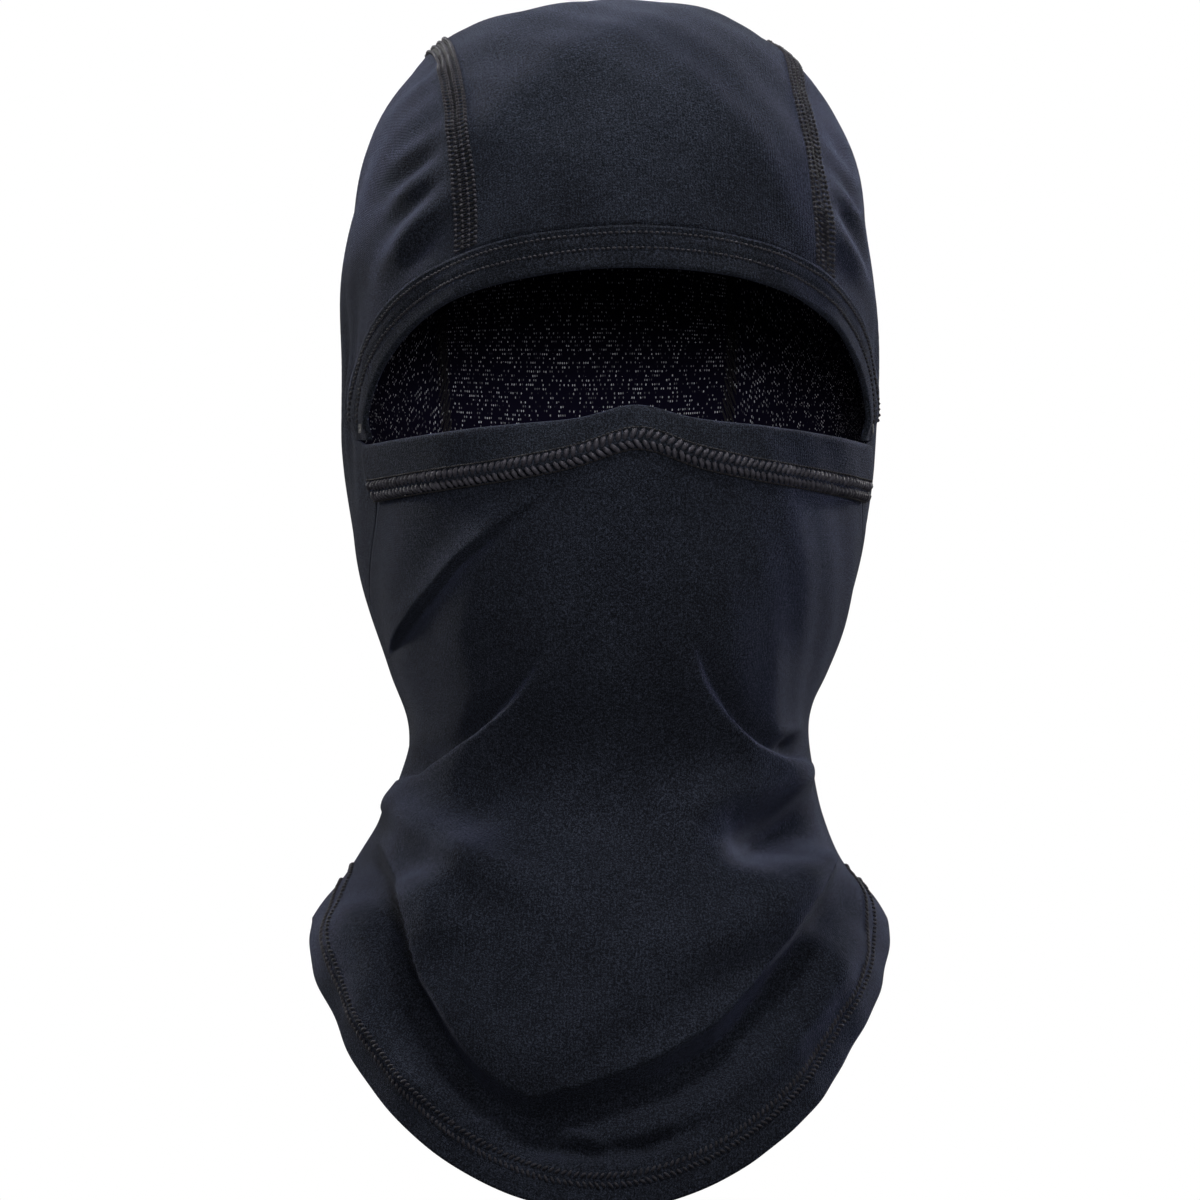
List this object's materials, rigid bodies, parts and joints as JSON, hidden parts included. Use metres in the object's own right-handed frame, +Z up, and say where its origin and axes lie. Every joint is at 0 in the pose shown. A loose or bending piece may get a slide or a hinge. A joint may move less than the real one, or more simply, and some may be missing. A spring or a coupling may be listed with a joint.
{
  "type": "balaclava",
  "caption": "Thin knitted balaclava with an arched eye opening, a seamed crown, a stitched mask edge over the nose that pulls down, a long neck and a rounded bib front and back.",
  "frame": {"origin": "the middle of the space for the head, between the ears", "axes": "+Z up through the crown, -Y out of the face opening, +X to the wearer's left"},
  "size_m": [0.174, 0.2103, 0.3596],
  "materials": {
    "merino_jersey": "fine heathered wool jersey, dark navy charcoal, soft fuzzy matt surface",
    "folded_jersey": "the same jersey folded double, slightly lighter along the folds",
    "seam_thread": "dark brown-charcoal spun seam thread, matt",
    "stitch_thread": "dark brown-charcoal sewing thread, faint gloss",
    "label_satin": "blank black satin tape"
  },
  "bodies": {
    "hood": {"crown_panel": "merino_jersey", "side_panel_left": "merino_jersey", "side_panel_right": "merino_jersey", "front_panel_mask": "merino_jersey", "front_panel_neck": "merino_jersey", "brow_band": "folded_jersey", "neck_hem_turnup": "folded_jersey", "crown_seam_left_outer_threads": "seam_thread", "crown_seam_left_inner_threads": "seam_thread", "crown_seam_right_outer_threads": "seam_thread", "crown_seam_right_inner_threads": "seam_thread", "side_seam_left_overlock": "seam_thread", "side_seam_right_overlock": "seam_thread", "brow_needle_row_upper": "stitch_thread", "brow_needle_row_lower": "stitch_thread", "brow_looper_threads": "stitch_thread", "hem_needle_row_upper": "stitch_thread", "hem_needle_row_lower": "stitch_thread", "hem_looper_threads": "stitch_thread", "bartack_left": "stitch_thread", "bartack_right": "stitch_thread", "care_label_stitches": "stitch_thread", "care_label": "label_satin"},
    "mask_edge": {"mask_hem": "folded_jersey", "mask_cover_threads": "stitch_thread", "mask_looper_threads": "stitch_thread"}
  },
  "joints": [
    {"name": "mask_lower", "type": "hinge", "parent": "hood", "child": "mask_edge", "pos_m": [0, -0.0433, -0.0351], "axis": [1, 0, 0], "range_deg": [0, 55], "deforming": ["front_panel_mask"]}
  ]
}
